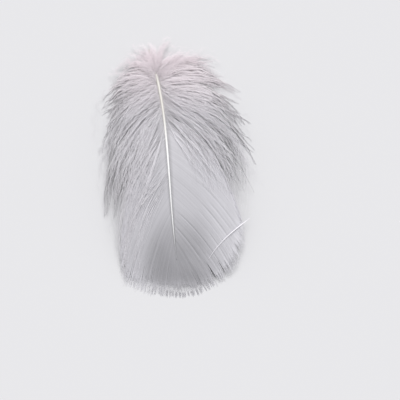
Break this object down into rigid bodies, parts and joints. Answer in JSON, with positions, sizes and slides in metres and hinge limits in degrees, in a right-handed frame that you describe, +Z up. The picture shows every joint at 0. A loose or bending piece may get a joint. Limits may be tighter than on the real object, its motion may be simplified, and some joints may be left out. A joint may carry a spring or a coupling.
{
  "type": "goose body feather",
  "caption": "Curved light grey goose feather with a pale horny shaft, a broad smooth vane and long fluffy down at its quill end, lying rounded side up.",
  "frame": {"origin": "on the surface that the feather lies on, under the middle of its bounding box", "axes": "+Z up out of the surface, +Y along the feather towards the quill's end, +X to the right as seen from above"},
  "size_m": [0.0694, 0.1124, 0.0139],
  "materials": {
    "horn": "smooth ivory keratin with a soft gloss, whiter towards the tip",
    "web": "light cool grey dyed barbs hooked into a smooth web, with a faint silky sheen along them",
    "fluff": "loose pale down, faintly pink at the quill and cool grey towards the vane, matt"
  },
  "bodies": {
    "root": {"quill_shaft": "horn", "vane_left": "web", "vane_right": "web", "down_left": "fluff", "down_right": "fluff"}
  },
  "joints": []
}
